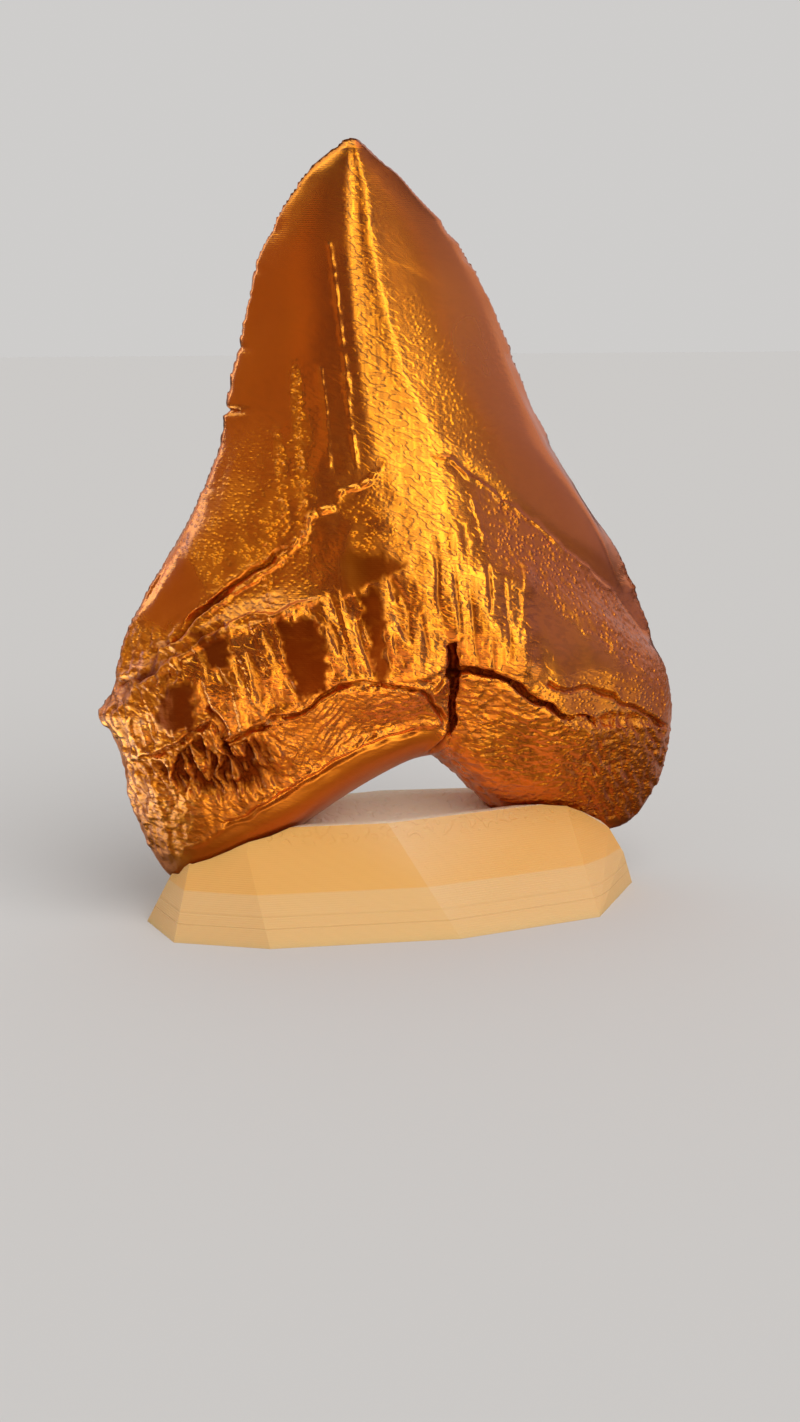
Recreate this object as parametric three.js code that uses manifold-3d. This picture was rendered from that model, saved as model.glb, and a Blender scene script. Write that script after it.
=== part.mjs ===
// A printed copy of a megalodon tooth, standing root down in a low faceted stand.
// Millimetres, +Z up. The origin is the middle of the stand's underside and -Y is the front,
// the side where the tooth's root bulges.
import * as THREE from 'three';
import { ConvexGeometry } from 'three/addons/geometries/ConvexGeometry.js';
import { ImprovedNoise } from 'three/addons/math/ImprovedNoise.js';
import { mergeVertices } from 'three/addons/utils/BufferGeometryUtils.js';
import Module from 'manifold-3d';

const { clamp, lerp, smoothstep } = THREE.MathUtils;

// Driving dimensions of the tooth
const TIP_HEIGHT = 124;
const BLADE_Y = 2;
const TIP_SWEEP = 1.4;
const TIP_SWEEP_FROM = 60;
const ROOT_FRONT = 17.5;
const ROOT_BACK = 8.2;
const RIGHT_LOBE_TAPER = 0.55;
const FACET_SLOPE = 1.6;
const FACET_START = 0.8;
const CRACK_DEPTH = 1.3;
const PORE_DEPTH = 1.6;

// Driving dimensions of the stand and the seat that is cut into it
const STAND_HEIGHT = 16.4;
const SEAT_GAP = 0.6;
const TROUGH_TOP = STAND_HEIGHT + 0.6;
const TROUGH_FLOOR = STAND_HEIGHT - 2.4;

// How finely the tooth is divided, and the copy of it that cuts the seat
const TOOTH_DIVISIONS = { columns: 48, crownRows: 14, bandRows: 4 };
const SEAT_DIVISIONS = { columns: 26, crownRows: 6, bandRows: 2 };
const EDGE_CROWDING = 0.35;
const MERGE_DISTANCE = 1e-3;

// The tooth's two edges, as [height, x] from the root's corner up to the tip
const LEFT_EDGE = [
  [9.2, -40], [14, -42.5], [20, -44.6], [30.4, -46.8], [33, -48.6], [35, -49.3], [37, -47.6],
  [42, -45.7], [47, -44.7], [53, -41.7], [65.5, -33.5], [72, -30.8], [77, -28.4], [84, -27.4],
  [96.5, -24], [102.7, -22.9], [112.5, -18], [119.3, -13.5], [121.8, -11.2], [123.3, -9.4],
  [TIP_HEIGHT, -7.4],
];
const RIGHT_EDGE = [
  [12, 44.4], [17.6, 47.9], [21, 48.8], [30, 49.2], [37, 48.2], [42.6, 45.5], [49.6, 43.2],
  [56.6, 40], [61, 37.2], [70.4, 30], [83.6, 22.9], [96.4, 17.5], [102.7, 14.6], [112.8, 7.2],
  [119.5, 0.2], [121.8, -2], [123.3, -4.4], [TIP_HEIGHT, -7.4],
];

// The lines that run across the tooth's front from edge to edge, top to bottom. Each has the
// heights at which it meets the two edges, and its [x, height] points between them.
const TIP = { leftHeight: TIP_HEIGHT, rightHeight: TIP_HEIGHT, points: [] };
const ENAMEL_END = {
  leftHeight: 41.2,
  rightHeight: 43,
  points: [
    [-42.3, 45.4], [-36, 51.2], [-28, 56], [-20, 60.6], [-15, 67], [-8, 72.4], [-1.5, 75.2],
    [3, 75.6], [8, 73.4], [14, 69], [24, 61.2], [30, 57], [37.5, 51.4], [42, 46],
  ],
};
const ROOT_TOP = {
  leftHeight: 37,
  rightHeight: 40,
  points: [
    [-45, 39.2], [-39.5, 44], [-32, 48.5], [-25, 51], [-18, 53], [-5.6, 57.6], [4, 59.3],
    [14.7, 56.3], [25.4, 51.6], [33, 49], [39, 44.8], [45, 41.2],
  ],
};
const CRACK = {
  leftHeight: 27,
  rightHeight: 28,
  points: [
    [-43, 28.2], [-38.5, 30.6], [-33, 34.8], [-29.8, 32.6], [-25, 34.4], [-20, 36.6], [-14, 40.6],
    [-5.6, 40.4], [0, 39.8], [6.5, 42.9], [10.8, 42.1], [17.2, 38.6], [25.4, 33], [30.4, 32],
    [40, 31],
  ],
};
const BASAL_RIDGE = {
  leftHeight: 15,
  rightHeight: 20,
  points: [
    [-41, 13.2], [-37.2, 13.6], [-31, 17.2], [-24.4, 21.4], [-18, 25.2], [-11, 29.5], [-2.6, 32.5],
    [3.4, 33.6], [8, 31], [13, 26], [18, 22.2], [26, 20], [36, 19.4],
  ],
};
const UNDERSIDE = {
  leftHeight: 9.2,
  rightHeight: 12,
  points: [
    [-38.6, 7.2], [-36.6, 6], [-33.5, 6.2], [-30, 7.4], [-24, 10.4], [-17.5, 13.8], [-7.5, 20],
    [-2, 22.9], [3, 24.9], [5.5, 25.1], [8.5, 23.2], [14.5, 17], [18, 14], [22, 12.2],
    [30, 10.4], [37, 9.1], [41, 9.8],
  ],
};
const CROSS_LINES = [TIP, ENAMEL_END, ROOT_TOP, CRACK, BASAL_RIDGE, UNDERSIDE];

// A row is numbered by the cross lines: 1 is the enamel's end and 1.5 is halfway from there to
// the root's top. These are the rows of the cross lines with a meaning of their own.
const ENAMEL_ROW = 1;
const ROOT_TOP_ROW = 2;
const CRACK_ROW = 3;
const RIDGE_ROW = 4;
const UNDERSIDE_ROW = 5;
const ROW_STEP_AT_LINE = 0.05;
const LEAST_ROW_STEP = 0.02;
const TIP_CROWDING = 1.25;

// The median crack runs down the root at this share of the width, from this row
const MEDIAN_SHARE = 0.54;
const MEDIAN_HALF_WIDTH = 0.011;
const MEDIAN_CLEARANCE = 1.6 * MEDIAN_HALF_WIDTH;
const MEDIAN_TOP_ROW = 2.7;
const PORE_ROW = 2.9;
const PORE_HALF_HEIGHT = 0.12;

// Depth of the crown's front and back along its middle, as [height, depth]
const CROWN_FRONT = [
  [41, 14], [60, 12.6], [76, 10.8], [90, 8.4], [105, 5.4], [117, 2.7], [122, 1.2],
  [TIP_HEIGHT, 0],
];
const CROWN_BACK = [[41, 5.6], [76, 3.8], [105, 2], [120, 0.8], [TIP_HEIGHT, 0]];

// Depth of the root's front and back along its middle, as [row, share of the greatest depth]
const ROOT_FRONT_PROFILE = [
  [ENAMEL_ROW, 0.66], [1.5, 0.75], [ROOT_TOP_ROW, 0.87], [2.6, 1], [CRACK_ROW, 0.98], [3.5, 0.86],
  [RIDGE_ROW, 0.74],
];
const ROOT_BACK_PROFILE = [
  [ENAMEL_ROW, 0.5], [ROOT_TOP_ROW, 0.74], [CRACK_ROW, 1], [RIDGE_ROW, 0.97],
];

// The rows over which the crown's depths give way to the root's
const DEPTHS_CHANGE = [0.9, 1.9];

// A section across the tooth is a thin lens in the crown and a rounded bar in the root. Its
// fullness at a place between the middle, 0, and an edge, 1, is (1 - place^reach)^roundness.
const CROWN_SECTION = { reach: 2, roundness: 0.9 };
const ROOT_SECTION = { reach: 2.9, roundness: 0.5 };
const SECTION_CHANGE = [0.8, 2.4];
const UNDERSIDE_SECTION = { reach: 2.2, roundness: 0.6 };

// Where the right lobe draws in, as shares of the width and rows
const DRAWN_IN_SHARES = [0.55, 0.72];
const DRAWN_IN_ROWS = [CRACK_ROW, 4.7];

// The ridges at the left and the groove at the right that mark the enamel's end
const RIDGE_HEIGHT = 0.8;
const RIDGES_FADE = [0.2, 0.42];
const GROOVE_DEPTH = 0.6;
const GROOVE_RISE = [0.5, 0.6];

// The root's weathered surface: upright furrows above the crack, lumps and pits below it. Each
// rises over its first rows and fades over its last ones.
const FURROWS = { height: 1.1, width: 2.6, length: 15, rise: [1.8, 2.3], fade: [2.7, 3], slice: 0 };
const LUMPS = { height: 1.5, width: 4.5, length: 4.5, rise: [2.8, 3.2], fade: [3.9, 4.2], slice: 7 };
const RELIEF_REACH = 1.6;

// A smooth function through [place, value] points in rising order, that never overshoots them
function curveThrough(points) {
  const last = points.length - 1;
  const rises = [];
  for (let i = 0; i < last; i += 1) {
    rises.push((points[i + 1][1] - points[i][1]) / (points[i + 1][0] - points[i][0]));
  }
  const slopes = points.map((point, i) => {
    if (i === 0) return rises[0];
    if (i === last) return rises[last - 1];
    if (rises[i - 1] * rises[i] <= 0) return 0;
    return (2 * rises[i - 1] * rises[i]) / (rises[i - 1] + rises[i]);
  });
  return (place) => {
    const at = clamp(place, points[0][0], points[last][0]);
    let i = 0;
    while (i < last - 1 && at > points[i + 1][0]) i += 1;
    const span = points[i + 1][0] - points[i][0];
    const t = (at - points[i][0]) / span;
    const fromStart = points[i][1] * (1 + 2 * t) + slopes[i] * span * t;
    const fromEnd = points[i + 1][1] * (3 - 2 * t) - slopes[i + 1] * span * (1 - t);
    return fromStart * (1 - t) ** 2 + fromEnd * t ** 2;
  };
}

const leftEdge = curveThrough(LEFT_EDGE);
const rightEdge = curveThrough(RIGHT_EDGE);
const crownFront = curveThrough(CROWN_FRONT);
const crownBack = curveThrough(CROWN_BACK);
const rootFront = curveThrough(ROOT_FRONT_PROFILE);
const rootBack = curveThrough(ROOT_BACK_PROFILE);

// How far each cross line rises above the straight chord between its two ends, by share of width
const lineRises = CROSS_LINES.map(({ leftHeight, rightHeight, points }) => {
  const left = leftEdge(leftHeight);
  const right = rightEdge(rightHeight);
  if (points.length === 0) return () => 0;
  const heightAt = curveThrough([[left, leftHeight], ...points, [right, rightHeight]]);
  return (share) => heightAt(lerp(left, right, share)) - lerp(leftHeight, rightHeight, share);
});

// Where a share of the width and a row lie on the tooth's front, seen straight on
function outlinePoint(share, row, grow) {
  const above = Math.min(Math.floor(row), CROSS_LINES.length - 2);
  const t = row - above;
  const leftHeight = lerp(CROSS_LINES[above].leftHeight, CROSS_LINES[above + 1].leftHeight, t);
  const rightHeight = lerp(CROSS_LINES[above].rightHeight, CROSS_LINES[above + 1].rightHeight, t);
  const rise = lerp(lineRises[above](share), lineRises[above + 1](share), t);
  const drop = grow * smoothstep(row, RIDGE_ROW, UNDERSIDE_ROW);
  return {
    x: lerp(leftEdge(leftHeight) - grow, rightEdge(rightHeight) + grow, share),
    z: lerp(leftHeight, rightHeight, share) + rise - drop,
  };
}

function sectionFullness(share, row) {
  const across = Math.abs(2 * share - 1);
  const rootward = smoothstep(row, ...SECTION_CHANGE);
  const reach = lerp(CROWN_SECTION.reach, ROOT_SECTION.reach, rootward);
  return (1 - across ** reach) ** lerp(CROWN_SECTION.roundness, ROOT_SECTION.roundness, rootward);
}

// The root's underside is rounded off below the basal ridge
function undersideRounding(row) {
  const below = clamp((row - RIDGE_ROW) / (UNDERSIDE_ROW - RIDGE_ROW), 0, 1);
  return (1 - below ** UNDERSIDE_SECTION.reach) ** UNDERSIDE_SECTION.roundness;
}

// Depths in front of and behind the blade's plane, before the section across rounds them off.
// The right lobe draws in towards its end, which is why it stands behind the stand's front rim.
function middleDepths(share, row, z) {
  const rootward = smoothstep(row, ...DEPTHS_CHANGE);
  const inLobe = smoothstep(share, ...DRAWN_IN_SHARES) * smoothstep(row, ...DRAWN_IN_ROWS);
  const drawnIn = 1 - RIGHT_LOBE_TAPER * inLobe;
  return {
    front: lerp(crownFront(z), ROOT_FRONT * rootFront(row), rootward) * drawnIn,
    back: lerp(crownBack(z), ROOT_BACK * rootBack(row), rootward),
  };
}

// The left lobe's outer side is cut off by a flat facet, which starts at its edge
function leftLobeFacet(x, z, grow) {
  return Math.max(0, FACET_SLOPE * (x - leftEdge(z)) + FACET_START + grow);
}

const noise = new ImprovedNoise();

// The height of the furrows or the lumps at one place
function weathering({ height, width, length, rise, fade, slice }, x, z, row) {
  const within = smoothstep(row, ...rise) * (1 - smoothstep(row, ...fade));
  return height * within * noise.noise(x / width, z / length, slice);
}

// A ridge or groove of one row, which is a cross line
function atLine(row, line) {
  return Math.abs(row - line) < ROW_STEP_AT_LINE / 2 ? 1 : 0;
}

// How deep the median crack is, with the pore that opens near its top
function medianDepth(share, row) {
  if (Math.abs(share - MEDIAN_SHARE) > MEDIAN_HALF_WIDTH / 2 || row < MEDIAN_TOP_ROW) return 0;
  return CRACK_DEPTH + PORE_DEPTH * Math.exp(-(((row - PORE_ROW) / PORE_HALF_HEIGHT) ** 2));
}

// The relief of the front: what marks the enamel's end, the cracks and the weathering
function frontRelief(share, row, x, z) {
  const leftward = 1 - smoothstep(share, ...RIDGES_FADE);
  const ridges = RIDGE_HEIGHT * leftward * (atLine(row, ENAMEL_ROW) + atLine(row, ROOT_TOP_ROW));
  const groove = GROOVE_DEPTH * smoothstep(share, ...GROOVE_RISE) * atLine(row, ENAMEL_ROW);
  const cracks = Math.max(CRACK_DEPTH * atLine(row, CRACK_ROW), medianDepth(share, row));
  const weathered = weathering(FURROWS, x, z, row) + weathering(LUMPS, x, z, row);
  return ridges - groove - cracks + weathered;
}

// Rows from the tip to the underside, close together on both sides of the cross lines
function rowPlaces({ crownRows, bandRows }) {
  const rows = [];
  for (let i = 0; i < crownRows; i += 1) rows.push((i / crownRows) ** TIP_CROWDING);
  [ENAMEL_ROW, ROOT_TOP_ROW, CRACK_ROW].forEach((line) => {
    rows.push(line - ROW_STEP_AT_LINE, line, line + ROW_STEP_AT_LINE);
    const steps = line === ROOT_TOP_ROW ? bandRows + 2 : bandRows;
    for (let i = 1; i < steps; i += 1) rows.push(line + i / steps);
  });
  const undersideRows = bandRows + 3;
  for (let i = 0; i <= undersideRows; i += 1) {
    rows.push(RIDGE_ROW + Math.sin((i / undersideRows) * (Math.PI / 2)));
  }
  const sorted = rows.sort((a, b) => a - b);
  return sorted.filter((row, i) => i === 0 || row - sorted[i - 1] > LEAST_ROW_STEP);
}

// Shares of the width from left to right, closer at the edges and beside the median crack
function columnShares(count) {
  const even = Array.from({ length: count + 1 }, (_, i) => {
    const s = i / count;
    return s - (EDGE_CROWDING * Math.sin(2 * Math.PI * s)) / (2 * Math.PI);
  });
  const clear = even.filter((share) => Math.abs(share - MEDIAN_SHARE) > MEDIAN_CLEARANCE);
  const beside = [MEDIAN_SHARE - MEDIAN_HALF_WIDTH, MEDIAN_SHARE, MEDIAN_SHARE + MEDIAN_HALF_WIDTH];
  return [...clear, ...beside].sort((a, b) => a - b);
}

// A closed mesh without the doubled corners and the flat triangles at the tip
function closedMesh(positions, triangles) {
  const loose = new THREE.BufferGeometry();
  loose.setAttribute('position', new THREE.Float32BufferAttribute(positions, 3));
  loose.setIndex(triangles);
  const merged = mergeVertices(loose, MERGE_DISTANCE);
  const index = Array.from(merged.index.array);
  const kept = [];
  for (let i = 0; i < index.length; i += 3) {
    const [a, b, c] = index.slice(i, i + 3);
    if (a !== b && b !== c && c !== a) kept.push(a, b, c);
  }
  merged.setIndex(kept);
  return merged;
}

// The corners of the front and the back at one place, seen as [front, back]
function toothCorners(share, row, grow) {
  const { x, z } = outlinePoint(share, row, grow);
  const onEdge = share === 0 || share === 1 || row === UNDERSIDE_ROW || row === 0;
  const fullness = onEdge ? 0 : sectionFullness(share, row) * undersideRounding(row);
  const bladeY = BLADE_Y + TIP_SWEEP * smoothstep(z, TIP_SWEEP_FROM, TIP_HEIGHT) ** 2;
  const depths = middleDepths(share, row, z);
  const rounded = (depths.front + grow) * fullness;
  const front = row > CRACK_ROW ? Math.min(rounded, leftLobeFacet(x, z, grow)) : rounded;
  const relief = frontRelief(share, row, x, z) * Math.min(1, fullness * RELIEF_REACH);
  const back = (depths.back + grow) * fullness;
  return [[x, bladeY - front - relief, z], [x, bladeY + back, z]];
}

// The tooth as one closed solid, or a copy of it that is thicker all round by grow
function toothSolid(divisions, grow) {
  const rows = rowPlaces(divisions);
  const shares = columnShares(divisions.columns);
  const positions = rows.flatMap((row) => shares.flatMap((share) => toothCorners(share, row, grow))).flat();
  const triangles = [];
  const corner = (i, j, side) => 2 * (i * shares.length + j) + side;
  for (let i = 0; i < rows.length - 1; i += 1) {
    for (let j = 0; j < shares.length - 1; j += 1) {
      [0, 1].forEach((side) => {
        const upperLeft = corner(i, j, side);
        const upperRight = corner(i, j + 1, side);
        const lowerRight = corner(i + 1, j + 1, side);
        const lowerLeft = corner(i + 1, j, side);
        const quad = [upperLeft, lowerLeft, lowerRight, upperLeft, lowerRight, upperRight];
        triangles.push(...(side === 0 ? quad : quad.reverse()));
      });
    }
  }
  return closedMesh(positions, triangles);
}

// The stand before it is cut: a low stone with flat facets, from its corners as [x, y, height]
const STAND_CORNERS = [
  [-42.4, 0, 0], [-39.5, -11.5, 0], [-25.2, -18.2, 0], [5.2, -21, 0], [30.4, -16.3, 0],
  [42.4, 0, 0], [39.5, 11.5, 0], [25.2, 18.2, 0], [-5.2, 21, 0], [-30.4, 16.3, 0],
  [-27.1, -8.8, 13.1], [39.7, -2.4, 6.4], [37, -2.2, 10.9], [-36, 9, 7],
  [-34.2, -2.6, STAND_HEIGHT], [-26, -6.6, STAND_HEIGHT], [-3.8, -8.7, STAND_HEIGHT],
  [28.6, -3, STAND_HEIGHT], [31, 2.5, STAND_HEIGHT], [22, 8.6, STAND_HEIGHT],
  [0, 11.6, STAND_HEIGHT], [-27, 8, STAND_HEIGHT],
];

// The shallow trough between the seats, from its corners: its lowest line is near the front rim
const TROUGH_CORNERS = [
  [-25, -5.4, TROUGH_TOP], [-3.8, -7.8, TROUGH_TOP], [27.6, -2.4, TROUGH_TOP],
  [28.5, 2.5, TROUGH_TOP], [21, 7.6, TROUGH_TOP], [0, 10.7, TROUGH_TOP], [-25, 7, TROUGH_TOP],
  [-14, -4.2, TROUGH_FLOOR], [18, -1.8, TROUGH_FLOOR],
];

function hullOf(corners) {
  return new ConvexGeometry(corners.map(([x, y, z]) => new THREE.Vector3(x, y, z)));
}

const wasm = await Module();
wasm.setup();

// A solid of a closed three.js geometry, for cutting
function solidOf(geometry) {
  const bare = geometry.clone();
  bare.deleteAttribute('normal');
  bare.deleteAttribute('uv');
  const welded = bare.index ? bare : mergeVertices(bare, MERGE_DISTANCE);
  return new wasm.Manifold(new wasm.Mesh({
    numProp: 3,
    vertProperties: new Float32Array(welded.attributes.position.array),
    triVerts: new Uint32Array(welded.index.array),
  }));
}

function geometryOf(solid) {
  const { vertProperties, triVerts } = solid.getMesh();
  const geometry = new THREE.BufferGeometry();
  geometry.setAttribute('position', new THREE.BufferAttribute(new Float32Array(vertProperties), 3));
  geometry.setIndex(new THREE.BufferAttribute(new Uint32Array(triVerts), 1));
  return geometry;
}

function toothMesh() {
  const copper = new THREE.MeshStandardMaterial({ color: 0xb4611c, roughness: 0.34, metalness: 0.7 });
  const mesh = new THREE.Mesh(toothSolid(TOOTH_DIVISIONS, 0), copper);
  mesh.name = 'megalodon_tooth';
  return mesh;
}

function standMesh() {
  const ivory = new THREE.MeshStandardMaterial({ color: 0xe3bd86, roughness: 0.55, metalness: 0 });
  const seat = solidOf(toothSolid(SEAT_DIVISIONS, SEAT_GAP));
  const trough = solidOf(hullOf(TROUGH_CORNERS));
  const stand = solidOf(hullOf(STAND_CORNERS)).subtract(seat).subtract(trough);
  const mesh = new THREE.Mesh(geometryOf(stand), ivory);
  mesh.name = 'faceted_stand';
  return mesh;
}

const group = new THREE.Group();
group.add(toothMesh(), standMesh());

export default group;
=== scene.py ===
"""A printed silk copper copy of a megalodon tooth, standing root down in a faceted ivory stand.

Both pieces start from the frame's own solids and get the relief that those are too coarse for.
Relief is worked out in millimetres: x to the right, z up, and the front is the -Y side.
"""
import math

import bpy
import numpy as np
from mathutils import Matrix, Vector, noise


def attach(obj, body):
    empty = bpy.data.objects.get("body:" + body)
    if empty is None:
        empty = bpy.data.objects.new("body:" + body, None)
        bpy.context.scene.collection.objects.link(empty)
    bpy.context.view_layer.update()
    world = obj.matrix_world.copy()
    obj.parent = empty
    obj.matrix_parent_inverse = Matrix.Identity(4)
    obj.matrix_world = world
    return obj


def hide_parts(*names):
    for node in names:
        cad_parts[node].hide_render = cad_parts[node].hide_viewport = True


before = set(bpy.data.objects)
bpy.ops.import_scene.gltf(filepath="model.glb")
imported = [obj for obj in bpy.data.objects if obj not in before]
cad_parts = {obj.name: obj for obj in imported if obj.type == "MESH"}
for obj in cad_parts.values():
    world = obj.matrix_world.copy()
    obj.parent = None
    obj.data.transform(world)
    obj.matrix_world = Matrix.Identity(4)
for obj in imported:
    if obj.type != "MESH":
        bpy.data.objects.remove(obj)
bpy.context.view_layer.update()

MM = 0.001

# The frame's edges that are sharper than this stay fairly sharp when the tooth is rounded
SHARP_EDGE = math.radians(55)
SHARP_CREASE = 0.8

# How finely the tooth is divided, in millimetres. Its front is divided once more between two
# heights, and near the crown's lines. The share of its triangles that is kept, once it is shaped,
# leaves fewer than 200,000.
TOOTH_VOXEL = 0.58
FINE_LOWEST = 9
FINE_HIGHEST = 60
FINE_BESIDE_LINE = 1
TOOTH_SHARE_KEPT = 0.7

# The tooth's tip as [x, z], and the height of its shoulders
TIP = [-6.4, 124.1]
TIP_START = 118.5
SHOULDER_HEIGHT = 42

# Lines on the tooth's front, as [x, z]. The enamel ends at the first one, which is a groove at
# the left, broken steps in the middle and a thin raised thread at the right.
ENAMEL_GROOVE = [
    [-46, 39.4], [-41.6, 43], [-38.5, 47], [-33.6, 51.2], [-27.6, 56.6], [-23.4, 59.4], [-19.4, 62],
]
ENAMEL_STEPS = [
    [-19.4, 62], [-17.6, 64.4], [-16.2, 67.2], [-12.4, 68], [-11.8, 70.2], [-7.9, 71.6], [-4.1, 74.5],
    [-0.9, 75.6], [2.4, 76.2],
]
ENAMEL_THREAD = [
    [2.4, 76.2], [6, 75.5], [9.1, 72.3], [14.2, 69.1], [18.9, 65.7], [24.3, 61.1], [30.1, 56.9],
    [37.3, 51.5], [42.3, 45.3], [44.6, 40.8],
]
UPPER_RIDGE = [
    [-44, 40.7], [-39.8, 44.7], [-34.9, 49], [-30.5, 53.2], [-25.5, 56.4], [-22.4, 58.4],
]
RIDGE_GROOVE = [[-43.3, 41.2], [-38.9, 44.9], [-35.1, 47.6], [-29.9, 50.8]]
LOWER_RIDGE = [
    [-45.6, 39.3], [-40.4, 43.2], [-36.5, 46.4], [-31.7, 49.2], [-26.1, 51.3], [-21, 52.5], [-17.1, 54],
    [-14.1, 55],
]
LEFT_CRACK = [
    [-43.5, 28.4], [-38.4, 31.2], [-35.7, 33.1], [-32.6, 35.6], [-30.2, 32.1], [-24.9, 34.3],
    [-23.5, 36.2], [-19.1, 36.8], [-16.4, 38.5], [-12.9, 41.1], [-9.7, 41.1], [-3.2, 40], [0.2, 39.2],
    [2.2, 38], [3.6, 35.7], [4.7, 33.2], [5.1, 31.9],
]
LEFT_WEDGE = [[-33.2, 37.6], [-31.9, 36.4], [-30.6, 34.2], [-30.3, 31.2], [-29.6, 28.6]]
MEDIAN_CRACK = [[5, 47], [5.6, 43.5], [6.1, 40.2], [6.1, 34.3], [5.9, 31.3], [4.6, 28.6], [3.8, 26.8]]
SIDE_CRACK = [[4.8, 42.1], [3.7, 40.6], [2.6, 38.6]]
RIGHT_CRACK = [
    [5.9, 42.1], [8.5, 42.3], [11.2, 41.7], [14.6, 40.3], [18.1, 37.9], [20.7, 36.1], [22.8, 34.9],
    [25.6, 33.4], [28.4, 33.6], [31.2, 31.8],
]
OUTER_CRACK = [
    [20.9, 39.5], [22.5, 38.1], [28.6, 38.1], [30.9, 37.3], [33.6, 36.3], [35.2, 35], [38.2, 34],
    [41.2, 32.1], [44.2, 30.1], [46.5, 28.6],
]

# Each crack's line, half width and depth, and how much it narrows along its length
CRACKS = [
    [LEFT_CRACK, 0.3, 1.0, 0],
    [LEFT_WEDGE, 0.55, 0.9, 0.6],
    [MEDIAN_CRACK, 0.42, 1.4, 0],
    [SIDE_CRACK, 0.28, 0.7, 0],
    [RIGHT_CRACK, 0.46, 1.3, 0.6],
    [OUTER_CRACK, 0.3, 0.8, 0],
]

# A crack's raised lips: their height as a share of its depth, and their place and width as shares
# of its own half width
LIP_HEIGHT = 0.16
LIP_PLACE = 2.1
LIP_WIDTH = 0.8

# The furrows end at the first of these lines, and at the second one left of the pore. Below the
# third, from edge to edge, the root is like bark.
FURROWS_TOP = LOWER_RIDGE + ENAMEL_THREAD[3:]
FURROWS_FOOT = LEFT_CRACK[:10]
BARK_TOP = LEFT_CRACK[:12] + RIGHT_CRACK[:8] + OUTER_CRACK[6:]

BASAL_GROOVE = [
    [-31, 17.6], [-26.4, 19.8], [-20.9, 22.9], [-15.3, 26.6], [-9.9, 29.2], [-4, 31.2], [1.6, 32],
]
BASAL_RIDGE = [
    [-37.2, 13.1], [-31.3, 17.1], [-24.4, 21.4], [-18, 25.2], [-14.7, 27.8], [-10.8, 29.6],
    [-6.5, 31.4], [-2.6, 32.5], [3.4, 33], [7, 28], [11, 23], [16, 18], [22, 14.5], [30, 12.5],
    [40, 12],
]

# The crown is flat between these two lines, which are its bright streaks, and falls away outside
LEFT_STREAK = [
    [-7, 124], [-8.2, 114.8], [-8.5, 104.2], [-8, 93.6], [-6.8, 81.4], [-4.7, 66.1], [-3, 55.5],
]
RIGHT_STREAK = [
    [-6.8, 124], [-5.4, 116.8], [-4.9, 107.7], [-3.4, 98.6], [-1.1, 88], [4.2, 77], [11, 62],
]
STREAK_RISE = 0.9

# How steeply the crown falls away, how round its shoulders are and how deep its flat part sinks,
# each low on the crown and near its tip
LEFT_STREAK_SLOPES = [0.14, 0.09]
RIGHT_STREAK_SLOPES = [0.14, 0.25]
STREAK_ROUNDINGS = [4, 1.2]
STREAK_TROUGHS = [0.06, 0.12]

# Thin beaded ribs on the crown
CROWN_RIBS = [
    [[-11.2, 108.5], [-10.8, 103.7], [-10.5, 99.6], [-10.2, 94.6], [-9.6, 88.6], [-9.1, 84]],
    [[-13.5, 89.5], [-13, 84.5], [-12.9, 78.4], [-12.9, 73.4]],
    [[-10.1, 88.6], [-9.6, 83.4], [-9.2, 78.4], [-8.7, 73.4]],
    [[9.4, 68.8], [10.5, 64.1], [11.2, 61.4]],
]

# Columns of fine speckle on the crown, as [x, lowest, highest]
SPECKLE_COLUMNS = [[-17.2, 60, 89], [-20.2, 63, 79], [-23, 53, 64]]

# Flat patches between the furrows, painted dark as shade, as their left and right ends at the foot and
# at the head, with the heights of both
FLAT_PATCHES = [
    [[-41, -35.5, 33.5], [-40.4, -35, 41.5]],
    [[-32.4, -29.8, 44], [-35, -29.4, 49]],
    [[-19.7, -14.6, 39.5], [-23, -15.4, 51.5]],
    [[-7.2, -5.2, 41], [-9.6, -6.1, 55.5]],
]
PATCH_SLOPE = 0.04
PATCH_PAINTED_SHADE = 0.99

# The smooth wedge between the furrows and the enamel's steps, painted dark as shade
WEDGE_TOP = [[-13, 61.5], [-5.5, 61], [-0.9, 59.2]]
WEDGE_FOOT = [[-13, 54.5], [-9.5, 55.3], [-5.5, 57.3], [-0.9, 59.2]]
WEDGE_PAINTED_SHADE = 0.92

# The furrows: columns that slope back to the right, as [x] and [slope], and ribs with gaps between,
# which are sunk and painted with shade
COLUMN_WIDTH = 3.4
COLUMN_SLOPES = [[-28, -22, -6, -2], [0.18, 0.11, 0.08, 0]]
RIB_WIDTH = 2.7
GAP_DEPTH = 0.2
GAP_PAINTED_SHADE = 0.4

# The upright fold where the furrows end at the right, as the x where it starts, is highest and ends
FOLD = [8, 17, 20.5]
FOLD_RISE = 0.9
RIGHT_FALL = 0.8

BACK_ENAMEL_END = [
    [-48, 40], [-35, 45], [-20, 49], [-5, 50.5], [10, 50], [25, 47.5], [38, 44], [49, 40],
]

# How the lobes' bark fans out, as [x] and [slope], and the pitted hollow below the left crack
BARK_FAN = [[-34, -20, -8, 4, 20], [0, 0.9, 0.25, 0, -0.1]]
LOBE_HOLLOW = [-31, 28]
LOBE_HOLLOW_SIZE = [11, 5.5]

# The pore at the head of the median crack
PORE = [5.6, 42]
PORE_RADIUS = 0.9
PORE_DEPTH = 1.6

# Heights of the rough skin: bark at the left shoulder, and wrinkles and grit on the band below the
# enamel's thread
SHOULDER_BARK = 0.08
WRINKLES = 0.15
GRIT = 0.14

# The depth at which the shade painted into a hollow is as dark as it gets
DARKEST_DEPTH = 1.1

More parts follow.
